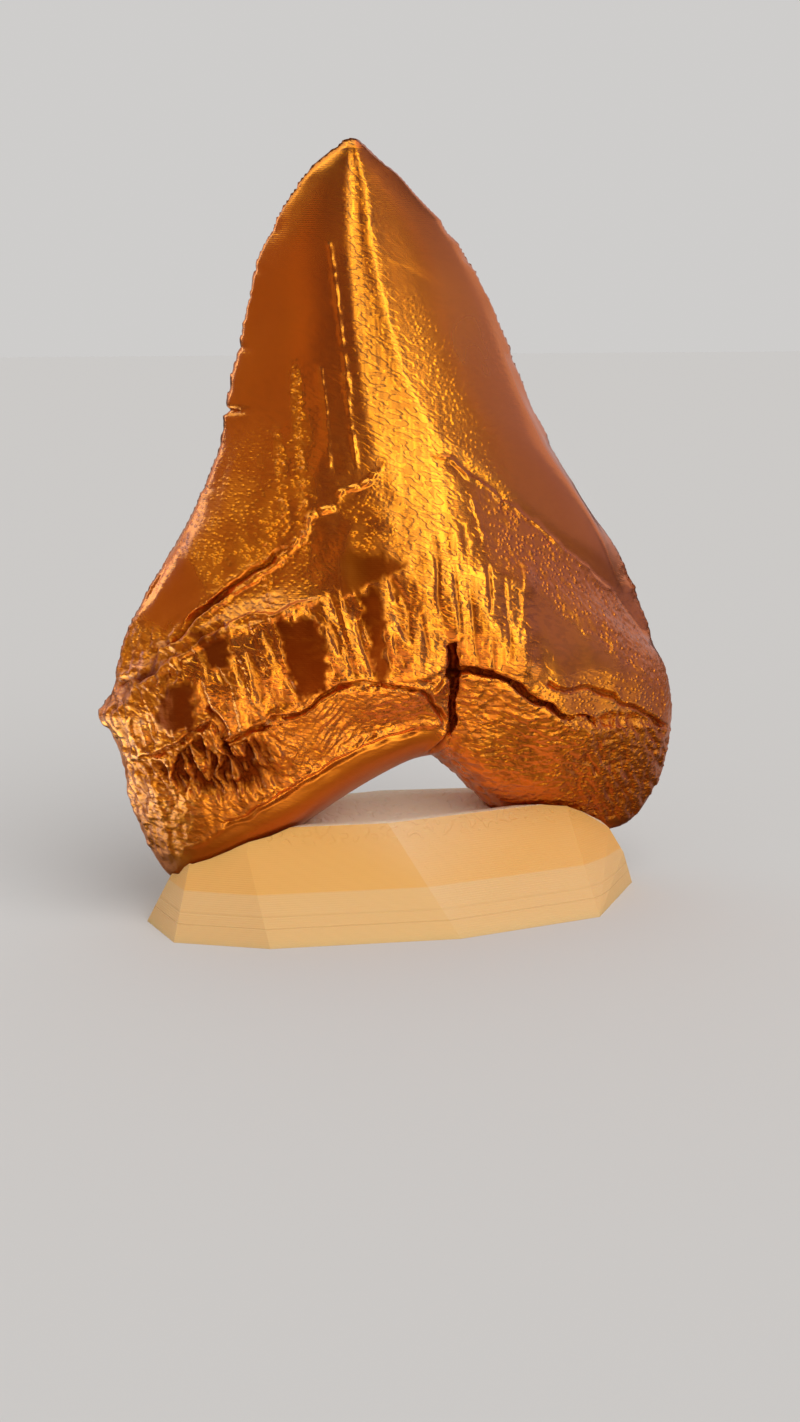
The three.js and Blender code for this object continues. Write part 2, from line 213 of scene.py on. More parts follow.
# How strong the speckle is on each part of the tooth, and how wavy the print is
SPECKLE = {
    "low_crown": 2.6, "below_steps": 2.4, "ridges": 1.1, "columns": 3, "right_crown": 0.5,
    "band": 2.6, "lobes": 0.7, "left_side": 0.3,
}
WAVES = {"everywhere": 0.1, "low_left": 0.3, "root": 1.1, "back": 0.5, "most": 1.5}

# The nicks in the tooth's left edge, as [height, depth], and the smooth dent by its left shoulder
NICKS = [[82.6, 0.9], [92.2, 0.4], [104, 0.25], [70.5, 0.3]]
DENT = [-38, 54.6]
DENT_SIZE = [4.6, 5.2]
DENT_DEPTH = 0.35
SERRATION_PITCH = 1.15
SERRATION_HEIGHT = 0.06

# The stand's edges: how far they are broken, and how sharp they are at least
STAND_BEVEL = 0.22
STAND_BEVEL_ANGLE = math.radians(9)

# The height of one printed layer
LAYER = 0.3

# Heights on the stand: where its print becomes warmer, its two level lines, each with its half
# width, and its worn rim
STAND_COLOUR_CHANGE = [7.1, 7.4]
STAND_LINES = [[4.2, 0.22], [2.6, 0.1]]
STAND_RIM = [13.4, 14.4]


def make_active(piece):
    bpy.ops.object.select_all(action="DESELECT")
    piece.select_set(True)
    bpy.context.view_layer.objects.active = piece


def apply_modifier(piece, kind, **settings):
    modifier = piece.modifiers.new(kind.title(), kind)
    for name, value in settings.items():
        setattr(modifier, name, value)
    make_active(piece)
    bpy.ops.object.modifier_apply(modifier=modifier.name)


def copy_of_node(node, name):
    """A piece with a node's surface, merged from its loose triangles."""
    piece = bpy.data.objects.new(name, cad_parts[node].data.copy())
    bpy.context.scene.collection.objects.link(piece)
    piece.data.materials.clear()
    make_active(piece)
    bpy.ops.object.mode_set(mode="EDIT")
    bpy.ops.mesh.select_all(action="SELECT")
    bpy.ops.mesh.remove_doubles(threshold=2e-6)
    bpy.ops.mesh.customdata_custom_splitnormals_clear()
    bpy.ops.object.mode_set(mode="OBJECT")
    return piece


def ramp(value, start, end):
    """0 before start and 1 past end, with a smooth rise between them."""
    share = np.clip((value - start) / (end - start), 0, 1)
    return share * share * (3 - 2 * share)


def hump(value, width):
    """1 at zero, fading away over about the width on both sides."""
    return np.exp(-((value / width) ** 2))


def lumps(places, size, seed):
    """Smooth noise from about -1 to 1, in lumps of the given size along X, Y and Z."""
    scaled = places / np.array(size) + seed
    return np.array([noise.noise(place) for place in scaled.tolist()])


def pits(places, size, seed):
    """1 at the middle of scattered pits of the given size, 0 between them."""
    scaled = places / np.array(size) + seed
    gaps = np.array([noise.voronoi(place)[0][0] for place in scaled.tolist()])
    return ramp(gaps, 0.5, 0.1)


def oval_field(places, middle, size):
    """How far each place is from the middle of an oval seen from the front: 1 is its rim."""
    return np.hypot((places[:, 0] - middle[0]) / size[0], (places[:, 2] - middle[1]) / size[1])


def line_field(places, line):
    """Each place's distance from a line seen from the front, and how far along it is, 0 to 1."""
    points = np.array(line, float)
    starts = points[:-1]
    steps = np.diff(points, axis=0)
    lengths = np.hypot(*steps.T)
    offsets = places[:, None, [0, 2]] - starts
    shares = np.clip((offsets * steps).sum(2) / lengths ** 2, 0, 1)
    gaps = np.linalg.norm(offsets - shares[..., None] * steps, axis=2)
    nearest = gaps.argmin(1)
    every = np.arange(len(places))
    runs = np.concatenate([[0], np.cumsum(lengths)])
    along = (runs[nearest] + shares[every, nearest] * lengths[nearest]) / runs[-1]
    return gaps[every, nearest], along


def height_on(line, x):
    """The height of a line that runs across the tooth, at each x."""
    points = np.array(line)
    return np.interp(x, points[:, 0], points[:, 1])


def across(line, z):
    """Where a line that runs up the tooth is, at each height."""
    points = np.array(sorted(line, key=lambda point: point[1]))
    return np.interp(z, points[:, 1], points[:, 0])


def surface_of(piece):
    """The places and normals of a mesh's vertices, the places in millimetres."""
    vertices = piece.data.vertices
    places = np.empty(3 * len(vertices), np.float32)
    normals = np.empty(3 * len(vertices), np.float32)
    vertices.foreach_get("co", places)
    vertices.foreach_get("normal", normals)
    return places.reshape(-1, 3).astype(float) / MM, normals.reshape(-1, 3).astype(float)


def set_places(piece, places):
    piece.data.vertices.foreach_set("co", (places * MM).astype(np.float32).ravel())
    piece.data.update()


def paint(piece, name, values):
    """Keeps one number per vertex, which the material reads by its name."""
    layer = piece.data.attributes.new(name, "FLOAT", "POINT")
    layer.data.foreach_set("value", values.astype(np.float32))


def crack(places, line, half_width, depth, narrowing=0.0):
    """A groove along a line, with raised lips. Its width is uneven and may narrow along it."""
    distance, along = line_field(places, line)
    width = half_width * (1 - narrowing * along) * (1 + 0.35 * lumps(places, [2, 2, 2], 31))
    ends = ramp(along, 0, 0.03) * ramp(along, 1, 0.94)
    lip = LIP_HEIGHT * depth * hump(distance - LIP_PLACE * width, LIP_WIDTH * width)
    return (lip - depth * hump(distance, width)) * ends


def raised(places, line, half_width, height, fade_start=0.85, beading=0.45):
    """A raised, more or less beaded line that sinks back into the surface towards its end."""
    distance, along = line_field(places, line)
    beads = np.clip(1 + beading * lumps(places, [1.1, 1.1, 1.1], 12), 0, None)
    ends = ramp(along, 0, 0.04) * ramp(along, 1, fade_start)
    return height * beads * hump(distance, half_width) * ends


def crack_relief(places):
    """The root's cracks, and the pore at the head of the median one."""
    cracks = np.sum([crack(places, *measures) for measures in CRACKS], axis=0)
    return cracks - PORE_DEPTH * hump(oval_field(places, PORE, [PORE_RADIUS, PORE_RADIUS]), 1)


def shoulder_grooves(places):
    """The enamel's end at the left, and the groove between the two ridges there."""
    return crack(places, ENAMEL_GROOVE, 0.38, 0.95) + crack(places, RIDGE_GROOVE, 0.32, 0.75)


def ridge_relief(places):
    """The two ridges that run down to the left shoulder, and the enamel's steps and thread."""
    x, z = places[:, 0], places[:, 2]
    upper = raised(places, UPPER_RIDGE, 0.4, 0.6)
    lower = raised(places, LOWER_RIDGE, 0.36, 0.65, beading=0.7)
    steps = raised(places, ENAMEL_STEPS, 0.4, 0.3, beading=2.2) * ramp(x, -2, -8)
    thread = raised(places, ENAMEL_THREAD, 0.4, 0.42, fade_start=0.4)
    near = ramp(z - height_on(ENAMEL_GROOVE, x), 4, 1) * ramp(z - height_on(LOWER_RIDGE, x), -3, -1)
    rough = near * ramp(x, -20, -28) + ramp(x, -38, -42) * ramp(z, 26, 30) * ramp(z, 50, 44)
    bark = lumps(places, [1.1, 1, 0.6], 81) + 0.6 * lumps(places, [2.4, 2, 1.2], 83)
    return upper + lower + steps + thread + SHOULDER_BARK * np.clip(rough, 0, 1) * bark


def patch_share(places, patch):
    """1 inside a flat patch and 0 outside it."""
    (foot_left, foot_right, low), (head_left, head_right, high) = patch
    z = places[:, 2] + 1.2 * lumps(places, [1.5, 4, 4], 71) + 0.8 * lumps(places, [0.7, 1, 0.7], 72)
    x = places[:, 0] + 0.9 * lumps(places, [3, 4, 1.6], 73) + 0.5 * lumps(places, [0.7, 1, 0.7], 74)
    left = np.interp(z, [low, high], [foot_left, head_left])
    right = np.interp(z, [low, high], [foot_right, head_right])
    sides = ramp(x, left - 0.5, left + 0.5) * ramp(x, right + 0.5, right - 0.5)
    return sides * ramp(z, low - 0.6, low + 0.6) * ramp(z, high + 0.6, high - 0.6)


def flat_share(places):
    """1 on any of the flat patches."""
    return np.max([patch_share(places, patch) for patch in FLAT_PATCHES], axis=0)


def wedge_share(places):
    """1 on the smooth wedge that runs out to a point between the furrows and the enamel's steps."""
    x = places[:, 0]
    z = places[:, 2] + 0.9 * lumps(places, [1.2, 3, 1.2], 75)
    top = height_on(WEDGE_TOP, x)
    foot = height_on(WEDGE_FOOT, x)
    return ramp(z, foot - 0.4, foot + 0.6) * ramp(z, top + 0.4, top - 0.6) * ramp(x, -14, -10)


def fold_relief(places):
    """The root's front faces forward up to an upright fold, and to the right beyond it."""
    x = places[:, 0] + 0.7 * lumps(places, [9, 9, 3.5], 39)
    z = places[:, 2]
    start, crest, end = FOLD
    rise = np.clip((x - start) / (crest - start), 0, 1) * ramp(x, end, crest)
    fall = ramp(x, end - 2, end + 14) * ramp(x, 46, 38) * ramp(z, 16, 34) * ramp(z, 62, 50)
    return FOLD_RISE * rise * ramp(z, 39, 44) * ramp(z, 60, 55) - RIGHT_FALL * fall


def leaning_places(places):
    """The places sheared so that the furrows, which lean to the left at the left, are upright."""
    x, z = places[:, 0], places[:, 2]
    lean = np.interp(x, [-8, 3], [0.3, 0.08])
    return np.stack([x + lean * (z - SHOULDER_HEIGHT), places[:, 1], z], 1)


def furrow_band(places):
    """1 between the crack and the end of the enamel, where the root's front is furrowed."""
    x, z = places[:, 0], places[:, 2]
    above_crack = ramp(z, 39, 42) * ramp(x, 24, 14) + ramp(z, 36, 40) * ramp(x, 14, 24)
    left_of_pore = ramp(z - height_on(FURROWS_FOOT, x), 0.5, 2) * ramp(x, 1, -2)
    band = np.maximum(above_crack * ramp(x, -2, 1), left_of_pore) * (1 - wedge_share(places))
    return band * ramp(z - height_on(FURROWS_TOP, x), 1, -1.5)


def furrow_gaps(places):
    """1 in the gaps between the furrows' ribs and 0 on the ribs and outside the furrows."""
    leaning = leaning_places(places)
    wide = ramp(lumps(leaning, [1.0, 3, 5], 3), -0.1, -0.3)
    from_rib = (leaning[:, 0] + 1.1 * lumps(places, [5, 5, 9], 11)) % RIB_WIDTH - RIB_WIDTH / 2
    thin = hump(from_rib, 0.24) * ramp(lumps(leaning, [2.6, 3, 8], 9), -0.3, 0.2)
    gaps = wide * ramp(places[:, 0], 2, -4) + thin * ramp(places[:, 0], -4, 2)
    ribbed = ramp(places[:, 0], FOLD[2], FOLD[1] - 2) * (1 - flat_share(places))
    return gaps * ribbed * furrow_band(places)


def furrow_relief(places):
    """Upright furrows between the enamel and the crack, which leave a few flat, tilted patches."""
    x = places[:, 0]
    leaning = leaning_places(places)
    fine = lumps(leaning, [0.8, 3, 2.0], 7)
    ripples = lumps(leaning, [1.6, 3, 0.55], 5)
    furrows = (0.04 * fine + 0.03 * ripples) * ramp(x, FOLD[2], FOLD[1] - 2)
    column = (leaning[:, 0] + 1.2 * lumps(places, [4, 4, 5], 29)) % COLUMN_WIDTH
    furrows = furrows - np.interp(x, *COLUMN_SLOPES) * column
    for patch in FLAT_PATCHES:
        share = patch_share(places, patch)
        tilt = PATCH_SLOPE * (x - patch[0][1])
        furrows = furrows * (1 - share) + share * tilt
    return furrow_band(places) * furrows - GAP_DEPTH * furrow_gaps(places)


def lobe_pits(places):
    """Slanting pits in the lobes' outer parts, most and deepest in the left one's hollow."""
    x, z = places[:, 0], places[:, 2]
    in_hollow = ramp(oval_field(places, LOBE_HOLLOW, LOBE_HOLLOW_SIZE), 1.3, 0.6)
    slanted = np.stack([x + 0.5 * z, places[:, 1], z], 1)
    narrow = ramp(lumps(slanted, [0.8, 2, 2.1], 21) - 0.35 * in_hollow, 0.05, -0.45)
    wide = ramp(lumps(slanted, [1.4, 3, 3.2], 24) - 0.3 * in_hollow, 0.0, -0.4)
    at_left = ramp(x, -18, -27) * (0.35 * ramp(z, 19, 25) + 0.8 * in_hollow)
    at_right = 0.4 * ramp(x, 24, 33)
    return np.maximum(at_left, at_right) * (0.6 * narrow + 0.8 * wide)


def bark_relief(places):
    """The lobes' weathered skin between the crack and the basal ridge, level like fine bark."""
    x, z = places[:, 0], places[:, 2]
    band = ramp(z - height_on(BARK_TOP, x), 0, -1.2) * ramp(z - height_on(BASAL_RIDGE, x), -1.5, 0.5)
    fanned = np.stack([x, places[:, 1], z - np.interp(x, *BARK_FAN) * x], 1)
    bark = lumps(fanned, [2, 2, 0.8], 14) + 0.8 * lumps(fanned, [1.1, 1, 0.5], 15)
    coarse_at_left = 0.1 * ramp(lumps(places, [6, 6, 5], 28), -0.2, 0.3) * ramp(x, 3, -2)
    coarse_at_right = 0.04 * ramp(x, 16, 28)
    below_crack = 0.08 * ramp(z - height_on(RIGHT_CRACK, x), -9, -4) * ramp(x, 4, 8)
    height = 0.12 + coarse_at_left + coarse_at_right + below_crack
    return band * (height * bark - lobe_pits(places))


def side_relief(places, facing_left):
    """Rough upright strokes along the root's left side."""
    z = places[:, 2]
    strokes = lumps(places, [1.5, 1.5, 3.4], 85) + 0.5 * lumps(places, [0.9, 0.9, 1.5], 87)
    return 0.4 * strokes * ramp(facing_left, 0.35, 0.6) * ramp(z, 52, 46) * ramp(z, 9, 13)


def lower_relief(places):
    """The groove above the basal ridge and the faint ledge beside it."""
    groove = crack(places, BASAL_GROOVE, 0.35, 0.5)
    ledge = raised(places, BASAL_RIDGE, 0.7, 0.22, 0.5)
    return groove + ledge


def band_relief(places):
    """Wrinkles that run down to the right between the enamel's end and the root's top."""
    along = places[:, 0] * 0.72 - places[:, 2] * 0.69
    over = places[:, 0] * 0.69 + places[:, 2] * 0.72
    turned = np.stack([along, places[:, 1], over], 1)
    wrinkles = lumps(turned, [2.6, 2, 0.75], 17) + 0.5 * lumps(turned, [1.2, 1, 0.5], 19)
    rough = lumps(places, [0.8, 0.8, 0.6], 23)
    return band_share(places) * (WRINKLES * wrinkles + GRIT * rough)


def band_share(places):
    """1 on the rough band just below the enamel's thread, and 0 beside it."""
    x = places[:, 0]
    below = height_on(ENAMEL_THREAD, x) - places[:, 2] + lumps(places, [4, 4, 4], 18)
    return ramp(below, -0.5, 1) * ramp(below, 12, 9) * ramp(x, 9, 15)


def nick_slit(places):
    """The thin slit that runs in from the left edge's largest nick."""
    height = NICKS[0][0]
    edge = across(edge_line(places, -1), height)
    slit = [[edge - 1, height + 0.3], [edge + 2, height], [edge + 3.6, height - 0.2]]
    return crack(places, slit, 0.24, 0.5)


def column_share(places):
    """1 in the middle of the crown's columns of speckle, fading away at their sides and ends."""
    x, z = places[:, 0], places[:, 2]
    columns = [
        hump(x - middle, 0.8) * ramp(z, highest + 3, highest - 3) * ramp(z, lowest - 3, lowest + 3)
        for middle, lowest, highest in SPECKLE_COLUMNS
    ]
    return np.max(columns, axis=0)


def crown_relief(places):
    """Faint upright ribs, the dent by the shoulder and a slight unevenness low on the crown."""
    x, z = places[:, 0], places[:, 2]
    ribs = np.sum([raised(places, line, 0.28, 0.13, 0.9, 1.6) for line in CROWN_RIBS], axis=0)
    dent = ramp(oval_field(places, DENT, DENT_SIZE), 1.2, 0.3)
    uneven = 0.12 * lumps(places, [2.2, 2, 3.4], 27) * ramp(z, 92, 72) * ramp(z, 46, 52) * ramp(x, 2, -3)
    streaks = raised(places, LEFT_STREAK, 0.8, 0.06) + raised(places, RIGHT_STREAK, 0.8, 0.07)
    ribs = ribs + streaks * ramp(z, 72, 88)
    beads = 0.25 * ramp(lumps(places, [0.6, 0.6, 0.55], 93), -0.1, 0.4) * column_share(places)
    return ribs + beads + uneven - DENT_DEPTH * dent


def streak_relief(places):
    """The crown's front, raised and flat between its two streaks."""
    x, z = places[:, 0], places[:, 2]
    left = across(LEFT_STREAK, z)
    right = across(RIGHT_STREAK, z)
    middle = (left + right) / 2
    rounding = np.interp(z, [62, 88], STREAK_ROUNDINGS)
    outside = np.clip(np.maximum(left - x, x - right), 0, None)
    outside = np.hypot(outside, rounding) - rounding
    left_slope = np.interp(z, [90, 112], LEFT_STREAK_SLOPES)
    right_slope = np.interp(z, [88, 104], RIGHT_STREAK_SLOPES)
    slope = np.where(x > middle, right_slope, left_slope)
    rise = STREAK_RISE * np.exp(-slope * outside / STREAK_RISE)
    depth = np.interp(z, [90, 112], STREAK_TROUGHS)
    trough = depth * ramp(np.abs(x - middle), (right - left) / 2, 0)
    return (rise - trough) * ramp(z, 50, 58) * ramp(z, 126.5, 122)


def back_relief(places):
    """The flat side of the tooth: the enamel stands proud of the root, with folds at its foot."""
    x, z = places[:, 0], places[:, 2]
    above = z - height_on(BACK_ENAMEL_END, x)
    enamel = 0.3 * ramp(above, -0.4, 0.4)
    folds = 0.2 * lumps(places, [1.6, 3, 9], 41) * ramp(above, 16, 4) * ramp(above, 0, 1)
    root = ramp(above, 0.5, -1.5)
    grain = 0.2 * lumps(places, [1.3, 2, 3.2], 43) + 0.15 * lumps(places, [0.8, 1, 0.9], 44)
    hollows = 0.4 * pits(places, [4, 4, 4], 47)
    return enamel + folds + root * (grain - hollows)


def edge_line(places, side):
    """The tooth's left, -1, or right, 1, edge from its shoulder to near its tip."""
    step = 2
    line = []
    for height in np.arange(SHOULDER_HEIGHT, TIP[1] - step, step):
        level = places[np.abs(places[:, 2] - height) < step / 2]
        line.append([side * (side * level[:, 0]).max(), height])
    return line


def draw_out(places, frame_edges):
    """Pulls the edges and the tip, which are blunt once the surface is divided, back to their places."""
    for side, wanted in frame_edges.items():
        own = edge_line(places, side)
        lack = across(wanted, places[:, 2]) - across(own, places[:, 2])
        inside = side * (across(own, places[:, 2]) - places[:, 0])
        above_shoulder = ramp(places[:, 2], SHOULDER_HEIGHT - 2, SHOULDER_HEIGHT)
        places[:, 0] += lack * ramp(inside, 2.5, 0) * above_shoulder
    top = places[:, 2].max()
    share = ramp(places[:, 2], TIP_START, top)
    places[:, 0] += 0.6 * share * (TIP[0] - places[:, 0])
    places[:, 2] += share * (TIP[1] - top)
    return places


def serrations(places):
    """How far each place moves sideways for the worn saw teeth along both edges, and the nicks."""
    moves = np.zeros_like(places)
    for side in (-1, 1):
        line = edge_line(places, side)
        length = np.hypot(*np.diff(np.array(line), axis=0).T).sum()
        distance, along = line_field(places, line)
        near = hump(distance, 0.9) * ramp(places[:, 2], SHOULDER_HEIGHT - 2, SHOULDER_HEIGHT + 3)
        near = near * ramp(places[:, 2], TIP_START, TIP_START - 10)
        saw = np.sin(along * length / SERRATION_PITCH * 2 * math.pi)
        worn = 0.4 + 1.2 * lumps(places, [5, 5, 5], 51 + side)
        moves[:, 0] += side * near * SERRATION_HEIGHT * saw * worn
    for height, depth in NICKS:
        edge = across(edge_line(places, -1), height)
        nick = hump(places[:, 2] - height, 0.45) * ramp(places[:, 0], edge + 2.4, edge + 0.4)
        moves[:, 0] += depth * nick
    return moves


def tooth_base():
    """The tooth's surface, rounded between the frame's facets and divided evenly."""
    tooth = copy_of_node("megalodon_tooth", "tooth_surface")
    bpy.ops.object.mode_set(mode="EDIT")
    bpy.ops.mesh.select_all(action="SELECT")
    bpy.ops.mesh.tris_convert_to_quads(face_threshold=math.pi, shape_threshold=math.pi)
    bpy.ops.mesh.select_all(action="DESELECT")
    bpy.ops.mesh.edges_select_sharp(sharpness=SHARP_EDGE)
    bpy.ops.transform.edge_crease(value=SHARP_CREASE)
    bpy.ops.object.mode_set(mode="OBJECT")
    apply_modifier(tooth, "SUBSURF", levels=2, render_levels=2)
    frame_edges = {side: edge_line(surface_of(tooth)[0], side) for side in (-1, 1)}
    apply_modifier(tooth, "REMESH", mode="VOXEL", voxel_size=TOOTH_VOXEL * MM)
    set_places(tooth, draw_out(surface_of(tooth)[0], frame_edges))
    return tooth


def divide_front(tooth):
    """Divides the root's front once more, where the relief is finest, and the crown along its lines."""
    centres = np.array([face.center[:] for face in tooth.data.polygons]) / MM
    columns = [[[middle, highest], [middle, lowest]] for middle, lowest, highest in SPECKLE_COLUMNS]
    lines = [ENAMEL_STEPS, ENAMEL_THREAD[:6], *CROWN_RIBS, *columns]
    from_line = np.min([line_field(centres, line)[0] for line in lines], axis=0)
    on_root = (centres[:, 2] > FINE_LOWEST) & (centres[:, 2] < FINE_HIGHEST)
    for face, fine in zip(tooth.data.polygons, on_root | (from_line < FINE_BESIDE_LINE)):
        face.select = bool(fine) and (face.normal.y < -0.3 or face.normal.x < -0.8)
    make_active(tooth)
    bpy.ops.object.mode_set(mode="EDIT")
    bpy.ops.mesh.select_mode(type="FACE")
    bpy.ops.mesh.subdivide(number_cuts=1, smoothness=0)
    bpy.ops.object.mode_set(mode="OBJECT")


def sculpt_tooth(tooth):
    """Gives the tooth its relief, and paints on it where shade is painted into the copper, and how wavy
    and speckled each place is.
    """
    places, normals = surface_of(tooth)
    front = ramp(-normals[:, 1], 0.0, 0.3)
    back = ramp(normals[:, 1], 0.2, 0.5)
    drift = np.zeros_like(places)
    drift[:, 0] = lumps(places, [3.5, 9, 3.5], 61)
    drift[:, 2] = lumps(places, [3.5, 9, 3.5], 67)
    drawn = places + 0.7 * drift
    cracks = crack_relief(drawn)
    grooves = shoulder_grooves(drawn)
    skin = bark_relief(drawn) + band_relief(drawn)
    shape = furrow_relief(places) + fold_relief(places) + streak_relief(places) + crown_relief(places)
    shape = shape + ridge_relief(drawn) + lower_relief(drawn) + nick_slit(places)
    sides = side_relief(places, -normals[:, 0]) * (1 - back)
    heights = front * (cracks + grooves + skin + shape) + back * back_relief(places) + sides
    set_places(tooth, places + normals * heights[:, None] + serrations(places))
    hollow = front * (cracks + 0.9 * grooves + 0.8 * skin)
    left_side = ramp(-normals[:, 0], 0.45, 0.7)
    # How much shade is painted dark into each place of the copper
    paint(tooth, "painted_shade", painted_shade_amount(places, front, hollow, sides))
    paint(tooth, "grain", grain_amount(places, front, back))
    paint(tooth, "speckle", front * speckle_amount(places) + SPECKLE["left_side"] * left_side)


def painted_shade_amount(places, front, hollow, sides):
    """Where shade is painted dark on the copper: hollows, the furrows' gaps, the flat patches, the wedge
    and the underside.
    """
    x, z = places[:, 0], places[:, 2]
    # Hollows get painted shade, darker the deeper they are
    dark = np.clip(-hollow / DARKEST_DEPTH, 0, 1)
    # The hollows of the side strokes get painted shade too
    dark = np.maximum(dark, np.clip(-2.4 * sides, 0, 0.8))
    # The furrows' gaps get painted shade
    dark = np.maximum(dark, GAP_PAINTED_SHADE * front * furrow_gaps(places))
    # The underside below the basal ridge and the foot near the seat get painted shade
    below_ridge = 0.5 * ramp(z - height_on(BASAL_RIDGE, x), 0, -3)
    foot = 0.45 * ramp(z, 27, 13)
    # The flat patches get painted shade, in faint level bands
    level_lines = 1 - 0.07 * ramp(lumps(places, [3, 3, 0.6], 77), 0, 0.5)
    patches = PATCH_PAINTED_SHADE * level_lines * flat_share(places)
    # The wedge gets painted shade
    wedge = WEDGE_PAINTED_SHADE * wedge_share(places) * ramp(x, -15, -7)
    flats = np.max([below_ridge, foot, patches, wedge], axis=0)
    return np.maximum(dark, front * flats)


def underside_share(places):
    """1 on the root's rounded underside, below the basal ridge."""
    return ramp(places[:, 2] - height_on(BASAL_RIDGE, places[:, 0]), 0.5, -1)


def dent_share(places):
    """1 in the smooth dent by the left shoulder."""
    return ramp(oval_field(places, DENT, DENT_SIZE), 1.4, 0.9)


def speckle_amount(places):
    """Where the front is beset with fine bumps: the crown's foot, the ridges, the band, the lobes."""
    x, z = places[:, 0], places[:, 2]
    above_ridge = z - height_on(ENAMEL_GROOVE + ENAMEL_STEPS, x)
    above_lower_ridge = z - height_on(LOWER_RIDGE, x)
    clusters = 0.35 + 0.65 * ramp(lumps(places, [3, 3, 4.5], 91), -0.3, 0.3)
    small_clusters = ramp(lumps(places, [2.6, 2.6, 3], 95), -0.5, 0.5)
    low_crown = clusters * ramp(above_ridge, 24, 4) * ramp(x, -14, -17) * ramp(above_ridge, -1, 1)
    below_steps = ramp(above_ridge, 0, -1) * ramp(z, 59, 63) * ramp(x, -13.5, -11) * ramp(x, -2, -6)
    ridges = ramp(above_ridge, 1, -1) * ramp(above_lower_ridge, -1.5, 0) * ramp(x, -10, -20)
    right_crown = ramp(x - across(RIGHT_STREAK, z), 2, 5) * ramp(z, 104, 94) * ramp(x, 22, 14)
    shares = {
        "low_crown": low_crown,
        "below_steps": below_steps * small_clusters,
        "ridges": ridges,
        "columns": column_share(places),
        "right_crown": right_crown,
        "band": band_share(places),
        "lobes": ramp(z, 42, 38) * (1 + 3 * ramp(x, 20, 31)),
    }
    most = np.max([SPECKLE[part] * share for part, share in shares.items()], axis=0)
    smooth = (1 - underside_share(places)) * (1 - dent_share(places)) * (1 - 0.8 * wedge_share(places))
    return most * smooth * (1 - 0.7 * flat_share(places))


def grain_amount(places, front, back):
    """Where the print's surface is wavy, 1, and where it is smooth, 0."""
    x, z = places[:, 0], places[:, 2]
    middle = (across(LEFT_STREAK, z) + across(RIGHT_STREAK, z)) / 2
    beside_middle = hump(x - middle, np.interp(z, [45, 80, 102, 124], [14, 8, 3, 1.2]))
    low_left = WAVES["low_left"] * ramp(z, 95, 70) * ramp(x, -8, -14)
    root = WAVES["root"] * ramp(z, 57, 52) * (1 - 0.7 * ramp(x, FOLD[1], FOLD[2]))
    smooth = (1 - 0.85 * underside_share(places)) * (1 - dent_share(places))
    smooth = smooth * (1 - 0.8 * flat_share(places)) * (1 - 0.7 * wedge_share(places))
    wavy = np.clip(WAVES["everywhere"] + beside_middle + low_left + root, 0, WAVES["most"])
    return front * wavy * smooth + back * WAVES["back"] * ramp(z, 60, 45)


def make_tooth():
    """The tooth, shaped and then thinned to the triangles that it may have."""
    tooth = tooth_base()
    divide_front(tooth)
    sculpt_tooth(tooth)
    apply_modifier(tooth, "DECIMATE", ratio=TOOTH_SHARE_KEPT)
    make_active(tooth)
    bpy.ops.object.shade_smooth()
    return tooth


def make_stand():
    """The stand, with its facets made whole again and the edges between them slightly broken."""
    stand = copy_of_node("faceted_stand", "stand_surface")
    bpy.ops.object.mode_set(mode="EDIT")
    bpy.ops.mesh.select_all(action="SELECT")
    bpy.ops.mesh.dissolve_limited(angle_limit=math.radians(0.5))
    bpy.ops.object.mode_set(mode="OBJECT")
    apply_modifier(
        stand, "BEVEL", width=STAND_BEVEL * MM, segments=2, limit_method="ANGLE",
        angle_limit=STAND_BEVEL_ANGLE, use_clamp_overlap=True,
    )
    make_active(stand)
    bpy.ops.object.shade_smooth_by_angle(angle=math.radians(20))
    return stand


def new_group(name, inputs, outputs):
    """A node group with numbers or colours in and out, and its two end nodes."""
    group = bpy.data.node_groups.new(name, "ShaderNodeTree")
    for label, kind, value in inputs:
        socket = group.interface.new_socket(label, in_out="INPUT", socket_type=kind)
        if value is not None:
            socket.default_value = value
    for label, kind in outputs:
        group.interface.new_socket(label, in_out="OUTPUT", socket_type=kind)
    return group, group.nodes.new("NodeGroupInput"), group.nodes.new("NodeGroupOutput")


def add_node(tree, kind, inputs=(), **settings):
    """A node with its settings, and its inputs either set to a value or linked to a socket."""
    node = tree.nodes.new(kind)
    for name, value in settings.items():
        setattr(node, name, value)
    for name, value in dict(inputs).items():
        if isinstance(value, bpy.types.NodeSocket):
            tree.links.new(value, node.inputs[name])
        else:
            node.inputs[name].default_value = value
    return node


def maths(tree, operation, first, second=0.0, third=0.0):
    """The result of a Math node, from numbers or sockets."""
    node = add_node(tree, "ShaderNodeMath", {0: first, 1: second, 2: third}, operation=operation)
    return node.outputs[0]


def ranged(tree, value, low, high, to_low=0.0, to_high=1.0):
    """The value's place between low and high, as a smooth share of the way from to_low to to_high."""
    inputs = {"Value": value, "From Min": low, "From Max": high, "To Min": to_low, "To Max": to_high}
    return add_node(tree, "ShaderNodeMapRange", inputs, interpolation_type="SMOOTHSTEP").outputs[0]


def blended(tree, share, first, second, kind="MIX"):
    """The first colour with a share of the second mixed in, or laid over it as kind says."""
    inputs = {0: share, 6: first, 7: second}
    return add_node(tree, "ShaderNodeMix", inputs, data_type="RGBA", blend_type=kind).outputs[2]


def scaled_place(tree, scale):
    """The place on the piece in metres, times the scale along each axis."""
    place = add_node(tree, "ShaderNodeTexCoord").outputs["Object"]
    return add_node(tree, "ShaderNodeMapping", {"Vector": place, "Scale": scale}).outputs[0]


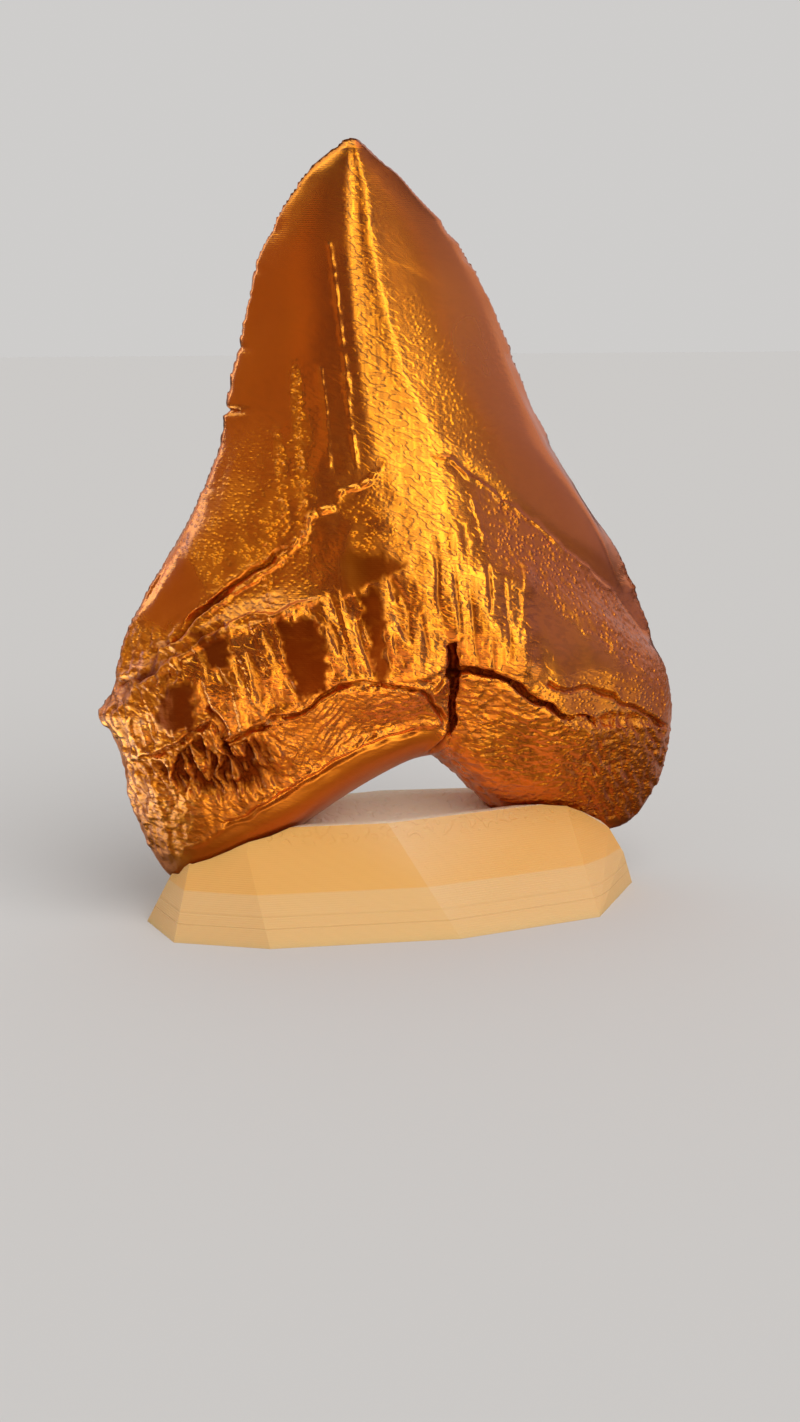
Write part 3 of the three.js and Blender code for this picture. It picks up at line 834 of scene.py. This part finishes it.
def stretched_noise(tree, scale, detail=2.0, roughness=0.5):
    """Noise in lumps of 1 / scale metres along each axis, fixed to the piece."""
    place = scaled_place(tree, scale)
    inputs = {"Vector": place, "Scale": 1.0, "Detail": detail, "Roughness": roughness}
    return add_node(tree, "ShaderNodeTexNoise", inputs).outputs["Fac"]


def make_print_lines():
    """The level lines of a print's layers, slightly uneven."""
    group, inputs, outputs = new_group(
        "print_lines",
        [("Pitch", "NodeSocketFloat", LAYER * MM), ("Wobble", "NodeSocketFloat", 0.3)],
        [("Height", "NodeSocketFloat")],
    )
    place = add_node(group, "ShaderNodeTexCoord").outputs["Object"]
    up = add_node(group, "ShaderNodeSeparateXYZ", {0: place}).outputs["Z"]
    wobble = stretched_noise(group, (260, 260, 900))
    turns = maths(group, "DIVIDE", up, inputs.outputs["Pitch"])
    shifted = maths(group, "MULTIPLY_ADD", wobble, inputs.outputs["Wobble"], turns)
    angle = maths(group, "MULTIPLY", shifted, 2 * math.pi)
    wave = maths(group, "SINE", angle)
    group.links.new(maths(group, "MULTIPLY_ADD", wave, 0.5, 0.5), outputs.inputs["Height"])
    return group


def make_fine_grain():
    """Small uneven waves of the given Length and Width, which fall to the right by the angle Lean."""
    group, inputs, outputs = new_group(
        "fine_grain",
        [("Length", "NodeSocketFloat", 0.0014), ("Width", "NodeSocketFloat", 0.0007),
         ("Lean", "NodeSocketFloat", 0.0)],
        [("Height", "NodeSocketFloat")],
    )
    place = add_node(group, "ShaderNodeTexCoord").outputs["Object"]
    length = inputs.outputs["Length"]
    size = add_node(group, "ShaderNodeCombineXYZ", {0: length, 1: length, 2: inputs.outputs["Width"]})
    turn = add_node(group, "ShaderNodeCombineXYZ", {1: inputs.outputs["Lean"]})
    turned = {"Vector": place, "Rotation": turn.outputs[0], "Scale": size.outputs[0]}
    mapped = add_node(group, "ShaderNodeMapping", turned, vector_type="TEXTURE")
    settings = {"Vector": mapped.outputs[0], "Scale": 1.0, "Detail": 0.4, "Roughness": 0.5}
    waves = add_node(group, "ShaderNodeTexNoise", settings).outputs["Fac"]
    group.links.new(waves, outputs.inputs["Height"])
    return group


def placed(tree, group, **values):
    """The height that a group gives in a material, with its own values there."""
    return add_node(tree, "ShaderNodeGroup", values, node_tree=group).outputs["Height"]


def new_material(name):
    """A material with one Principled shader, its node tree and that shader."""
    material = bpy.data.materials.new(name)
    material.use_nodes = True
    tree = material.node_tree
    tree.nodes.clear()
    shader = tree.nodes.new("ShaderNodeBsdfPrincipled")
    output = tree.nodes.new("ShaderNodeOutputMaterial")
    tree.links.new(shader.outputs[0], output.inputs["Surface"])
    return material, tree, shader


def layered(tree, heights, distances):
    """The surface's normal with each height, times its distance in millimetres, laid over the last."""
    inputs = {"Strength": 1.0}
    for height, distance in zip(heights, distances):
        inputs.update({"Height": height, "Distance": distance * MM})
        inputs["Normal"] = add_node(tree, "ShaderNodeBump", inputs).outputs[0]
    return inputs["Normal"]


# The copper's two tones, the dark colour painted in as shade in its hollows, and how much clear coat it
# has outside them
COPPER_TONES = [(0.80, 0.195, 0.007, 1), (0.88, 0.235, 0.010, 1)]
PAINTED_SHADE_COPPER = (0.14, 0.006, 0.0005, 1)
COAT = 0.8

# The ripples of the copper: their size in millimetres, their slant and how much shade is painted into
# their gaps
RIPPLE_LENGTH = 1.5
RIPPLE_WIDTH = 0.6
RIPPLE_LEAN = math.radians(26)
RIPPLE_PAINTED_SHADE = 0.24

# The stand's tone below and above the colour change, the paler, greyer tone painted on as light where it
# faces up, and its tone in its lines, and the size of its print's grain and of the scars on its top, in
# millimetres
IVORY_TONES = [(0.75, 0.44, 0.175, 1), (0.77, 0.39, 0.10, 1)]
UPWARD_PAINTED_LIGHT_IVORY = (0.90, 0.79, 0.62, 1)
LINE_BROWN = (0.45, 0.22, 0.07, 1)
IVORY_GRAIN = 1.25
SCAR_SIZE = 1.1

# The materials' own relief in millimetres: the copper's layers, streaks, ripples and speckle, and
# the stand's layers, grain, scars and lines, of which the last two are sunk
COPPER_RELIEF = [0.006, 0.06, 0.035, 0.07]
IVORY_RELIEF = [0.012, 0.02, -0.12, -0.04]


def domes(tree, scale):
    """Small scattered domes, 1 at their tops and 0 between them."""
    place = scaled_place(tree, scale)
    cells = add_node(tree, "ShaderNodeTexVoronoi", {"Vector": place, "Scale": 1.0})
    return ranged(tree, cells.outputs["Distance"], 0.55, 0.05)


def make_silk_copper(print_lines, fine_grain):
    """Silky copper plastic: streaked level, rippled and speckled, with shade painted dark into its
    hollows, where it is also dull.
    """
    material, tree, shader = new_material("silk_copper_plastic")
    grain = add_node(tree, "ShaderNodeAttribute", attribute_name="grain").outputs["Fac"]
    # The shade painted on the tooth, which also takes its coat away and makes it rougher
    painted_shade = add_node(tree, "ShaderNodeAttribute", attribute_name="painted_shade").outputs["Fac"]
    speckle = add_node(tree, "ShaderNodeAttribute", attribute_name="speckle").outputs["Fac"]
    size = {"Length": RIPPLE_LENGTH * MM, "Width": RIPPLE_WIDTH * MM}
    waves = placed(tree, fine_grain, **size, Lean=RIPPLE_LEAN)
    plates = ranged(tree, waves, 0.4, 0.56)
    ripples = maths(tree, "MULTIPLY", plates, grain)
    # The ripples' gaps get painted shade
    gaps = maths(tree, "MULTIPLY", maths(tree, "SUBTRACT", grain, ripples), RIPPLE_PAINTED_SHADE)
    bumps = maths(tree, "MULTIPLY", domes(tree, (1150, 1150, 1500)), speckle)
    streaks = maths(tree, "MULTIPLY", stretched_noise(tree, (900, 900, 70), 1.0), grain)
    layers = placed(tree, print_lines, Pitch=LAYER * MM, Wobble=0.8)
    clouds = stretched_noise(tree, (60, 60, 25), 3.0)
    copper = blended(tree, ranged(tree, clouds, 0.3, 0.7), *COPPER_TONES)
    # Shade is painted dark into hollows and into the ripples' gaps
    hollows = maths(tree, "MAXIMUM", maths(tree, "MULTIPLY", painted_shade, 0.9), gaps)
    tree.links.new(blended(tree, hollows, copper, PAINTED_SHADE_COPPER), shader.inputs["Base Color"])
    coat = maths(tree, "MULTIPLY_ADD", painted_shade, -COAT, COAT)
    tree.links.new(coat, shader.inputs["Coat Weight"])
    rough = ranged(tree, clouds, 0.25, 0.75, 0.2, 0.25)
    rough = maths(tree, "MULTIPLY_ADD", speckle, 0.07, rough)
    tree.links.new(maths(tree, "MULTIPLY_ADD", painted_shade, 0.3, rough), shader.inputs["Roughness"])
    around = add_node(tree, "ShaderNodeTangent", direction_type="RADIAL", axis="Z").outputs[0]
    tree.links.new(around, shader.inputs["Tangent"])
    shader.inputs["Metallic"].default_value = 0.94
    shader.inputs["Anisotropic"].default_value = 0.55
    shader.inputs["Anisotropic Rotation"].default_value = 0.25
    shader.inputs["Coat Roughness"].default_value = 0.3
    normal = layered(tree, [layers, streaks, ripples, bumps], COPPER_RELIEF)
    tree.links.new(normal, shader.inputs["Normal"])
    return material


def level_line(tree, up, height, half_width):
    """1 on a level line round the stand, both in millimetres, and 0 beside it."""
    away = maths(tree, "ABSOLUTE", maths(tree, "SUBTRACT", up, height * MM))
    return ranged(tree, away, half_width * MM, 0.0)


def make_ivory(print_lines, fine_grain):
    """Ivory plastic, warmer above a level line, painted paler as light where it faces up, and rough
    where it faces up and on its rim.
    """
    material, tree, shader = new_material("ivory_plastic")
    place = add_node(tree, "ShaderNodeTexCoord").outputs["Object"]
    up = add_node(tree, "ShaderNodeSeparateXYZ", {0: place}).outputs["Z"]
    layers = placed(tree, print_lines, Pitch=LAYER * MM, Wobble=0.2)
    grain = placed(tree, fine_grain, Length=IVORY_GRAIN * MM, Width=IVORY_GRAIN * MM)
    low, high = STAND_COLOUR_CHANGE
    ivory = blended(tree, ranged(tree, up, low * MM, high * MM), *IVORY_TONES)
    normal = add_node(tree, "ShaderNodeNewGeometry").outputs["Normal"]
    facing_up = add_node(tree, "ShaderNodeSeparateXYZ", {0: normal}).outputs["Z"]
    level = ranged(tree, facing_up, 0.6, 0.9)
    # Faces that look up are painted paler and greyer, as light
    ivory = blended(tree, maths(tree, "MULTIPLY", level, 0.8), ivory, UPWARD_PAINTED_LIGHT_IVORY)
    lines = maths(tree, "ADD", *[level_line(tree, up, *line) for line in STAND_LINES])
    ivory = blended(tree, maths(tree, "MULTIPLY", lines, 0.12), ivory, LINE_BROWN)
    tree.links.new(ivory, shader.inputs["Base Color"])
    shader.inputs["Roughness"].default_value = 0.48
    shader.inputs["Subsurface Weight"].default_value = 0.25
    shader.inputs["Subsurface Radius"].default_value = (1.0, 0.55, 0.25)
    shader.inputs["Subsurface Scale"].default_value = 0.004
    shader.inputs["Specular IOR Level"].default_value = 0.4
    low, high = STAND_RIM
    rim = ranged(tree, up, low * MM, high * MM)
    rim = maths(tree, "MULTIPLY", rim, maths(tree, "SUBTRACT", 1.0, level))
    worn = maths(tree, "MULTIPLY_ADD", rim, 0.7, level)
    scars = placed(tree, fine_grain, Length=SCAR_SIZE * MM, Width=SCAR_SIZE * MM)
    scars = maths(tree, "MULTIPLY", ranged(tree, scars, 0.5, 0.68), worn)
    normal = layered(tree, [layers, grain, scars, lines], IVORY_RELIEF)
    tree.links.new(normal, shader.inputs["Normal"])
    return material


# The view: its place, how far it looks down and to the right, and its lens for the long side
VIEW_PLACE = (-0.07296, -0.29054, 0.100)
VIEW_PITCH = math.radians(12.6)
VIEW_YAW = math.radians(14.18)
VIEW_LENS = 46.84
VIEW_SENSOR = 36


def make_camera():
    """The photograph's view of the object."""
    camera = bpy.data.objects.new("photo_view", bpy.data.cameras.new("photo_view"))
    bpy.context.scene.collection.objects.link(camera)
    camera.location = VIEW_PLACE
    camera.rotation_euler = (math.pi / 2 - VIEW_PITCH, 0, -VIEW_YAW)
    camera.data.lens = VIEW_LENS
    camera.data.sensor_width = VIEW_SENSOR
    camera.data.clip_start = 0.01
    bpy.context.scene.camera = camera


# The soft panels round the object, which the copper mirrors as its bands. Each has its azimuth, 0 at
# the front and growing to the right, its elevation and distance, its width and height, its
# brightness and its colour.
PANELS = {
    "front_skirt_panel": [(15, 20, 0.8), (0.52, 0.6), 0.36, (1.0, 0.66, 0.14)],
    "front_panel": [(17, 20, 0.8), (0.32, 0.6), 1.75, (0.72, 1.0, 0.42)],
    "front_core_panel": [(23, 20, 0.8), (0.12, 0.6), 3.0, (0.72, 1.0, 0.5)],
    "front_high_panel": [(-15, 68, 0.8), (1.4, 0.2), 1.2, (0.75, 1.0, 0.5)],
    "left_middle_panel": [(-22, 20, 0.8), (0.45, 0.6), 0.09, (1.0, 0.36, 0.05)],
    "left_panel": [(-70, 20, 0.8), (1.25, 0.6), 0.27, (1.0, 0.61, 0.1)],
    "left_high_panel": [(-90, 58, 0.9), (0.8, 0.5), 1.2, (0.8, 1.0, 0.7)],
    "right_high_panel": [(82, 62, 0.9), (0.7, 0.4), 1.0, (1.0, 0.84, 0.76)],
    "right_middle_panel": [(41, 28, 0.8), (0.29, 0.35), 0.12, (1.0, 0.58, 0.12)],
    "right_low_panel": [(42, 7, 0.8), (0.25, 0.23), 0.5, (0.45, 0.47, 1.0)],
    "right_panel": [(74, 20, 0.8), (0.7, 0.6), 0.56, (0.45, 0.47, 1.0)],
    "ceiling_panel": [(-15, 84, 0.9), (0.7, 0.6), 1.7, (0.75, 1.0, 0.6)],
    "left_rim_panel": [(-145, 20, 1.0), (1.0, 0.6), 0.6, (1.0, 0.84, 0.68)],
    "left_strip_panel": [(-118, 25, 0.9), (0.2, 0.5), 3.2, (0.42, 0.66, 1.0)],
    "right_rim_panel": [(137, 20, 1.0), (1.4, 0.6), 0.55, (0.9, 0.84, 0.9)],
}
PANELS_FACE = Vector((0, 0, 0.06))

# The tone of the floor and of the air round it, and what the copper mirrors instead of them
PALE = (0.62, 0.61, 0.60, 1)
MIRRORED_AIR = (0.06, 0.02, 0.01, 1)
MIRRORED_FLOOR = (0.85, 0.81, 0.72, 1)
MIRRORED_FLOOR_BELOW = (0.10, 0.07, 0.05, 1)

# Three glows on the floor that only the copper mirrors: a warm one in front, a pale one at the left
# and a faint one at the right
FLOOR_GLOWS = [
    {"centre": (-0.02, -0.115, 0.0), "start": 0.10, "full": 0.05, "colour": (1.2, 1.0, 0.45, 1)},
    {"centre": (-0.104, -0.012, 0.0), "start": 0.05, "full": 0.03, "colour": (2.6, 3.8, 3.8, 1)},
    {"centre": (0.095, -0.06, 0.0), "start": 0.035, "full": 0.015, "colour": (1.6, 1.7, 0.7, 1)},
]


def make_panel(name, place, size, brightness, colour):
    """A soft panel that faces the object. Only what mirrors shows it."""
    azimuth, elevation, distance = place
    data = bpy.data.lights.new(name, "AREA")
    data.shape = "RECTANGLE"
    data.size, data.size_y = size
    data.energy = brightness * math.pi * size[0] * size[1]
    data.color = colour
    panel = bpy.data.objects.new(name, data)
    bpy.context.scene.collection.objects.link(panel)
    turn = math.radians(azimuth)
    rise = math.radians(elevation)
    out = Vector((math.sin(turn) * math.cos(rise), -math.cos(turn) * math.cos(rise), math.sin(rise)))
    panel.location = PANELS_FACE + distance * out
    panel.rotation_euler = out.to_track_quat("Z", "Y").to_euler()
    panel.visible_camera = False
    panel.visible_diffuse = False


def floor_glow(tree, glow):
    """A round patch of light with a soft edge, as a colour."""
    place = add_node(tree, "ShaderNodeTexCoord").outputs["Object"]
    away = add_node(tree, "ShaderNodeVectorMath", {0: place, 1: glow["centre"]}, operation="DISTANCE")
    share = ranged(tree, away.outputs["Value"], glow["start"], glow["full"])
    return blended(tree, share, (0, 0, 0, 1), glow["colour"])


def make_floor():
    """The pale floor, which the copper mirrors as a darker one with three glows."""
    bpy.ops.mesh.primitive_plane_add(size=6, location=(0, 0, 0))
    floor = bpy.context.object
    floor.name = "studio_floor"
    material, tree, shader = new_material("studio_floor")
    mirrored = add_node(tree, "ShaderNodeLightPath").outputs["Is Glossy Ray"]
    facing = add_node(tree, "ShaderNodeLayerWeight").outputs["Facing"]
    mirror = blended(tree, ranged(tree, facing, 0.15, 0.8), MIRRORED_FLOOR_BELOW, MIRRORED_FLOOR)
    tree.links.new(blended(tree, mirrored, PALE, mirror), shader.inputs["Base Color"])
    tree.links.new(ranged(tree, mirrored, 0, 1, 0.6, 0.15), shader.inputs["Roughness"])
    tree.links.new(mirrored, shader.inputs["Metallic"])
    shader.inputs["Specular IOR Level"].default_value = 0.0
    glows = floor_glow(tree, FLOOR_GLOWS[0])
    for glow in FLOOR_GLOWS[1:]:
        glows = blended(tree, 1.0, glows, floor_glow(tree, glow), "ADD")
    tree.links.new(glows, shader.inputs["Emission Color"])
    tree.links.new(mirrored, shader.inputs["Emission Strength"])
    floor.data.materials.append(material)


def make_window():
    """Soft light from in front and above, which the copper doesn't mirror."""
    window = bpy.data.objects.new("window_light", bpy.data.lights.new("window_light", "SUN"))
    bpy.context.scene.collection.objects.link(window)
    window.data.energy = 1.45
    window.data.angle = math.radians(50)
    window.visible_glossy = False
    window.rotation_euler = (math.radians(40), 0, math.radians(20))


def make_air():
    """The pale air round the floor, which the copper mirrors as a dark room."""
    world = bpy.data.worlds.new("studio_air")
    bpy.context.scene.world = world
    world.use_nodes = True
    tree = world.node_tree
    tree.nodes.clear()
    mirrored = add_node(tree, "ShaderNodeLightPath").outputs["Is Glossy Ray"]
    tone = blended(tree, mirrored, PALE, MIRRORED_AIR)
    background = add_node(tree, "ShaderNodeBackground", {"Color": tone})
    output = add_node(tree, "ShaderNodeOutputWorld")
    tree.links.new(background.outputs[0], output.inputs[0])


make_camera()
make_floor()
for name, measures in PANELS.items():
    make_panel(name, *measures)
make_window()
make_air()
print_lines = make_print_lines()
fine_grain = make_fine_grain()

tooth = make_tooth()
tooth.data.materials.append(make_silk_copper(print_lines, fine_grain))
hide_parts("megalodon_tooth")
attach(tooth, "root")

stand = make_stand()
stand.data.materials.append(make_ivory(print_lines, fine_grain))
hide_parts("faceted_stand")
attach(stand, "root")

bpy.context.scene.view_settings.view_transform = "Standard"
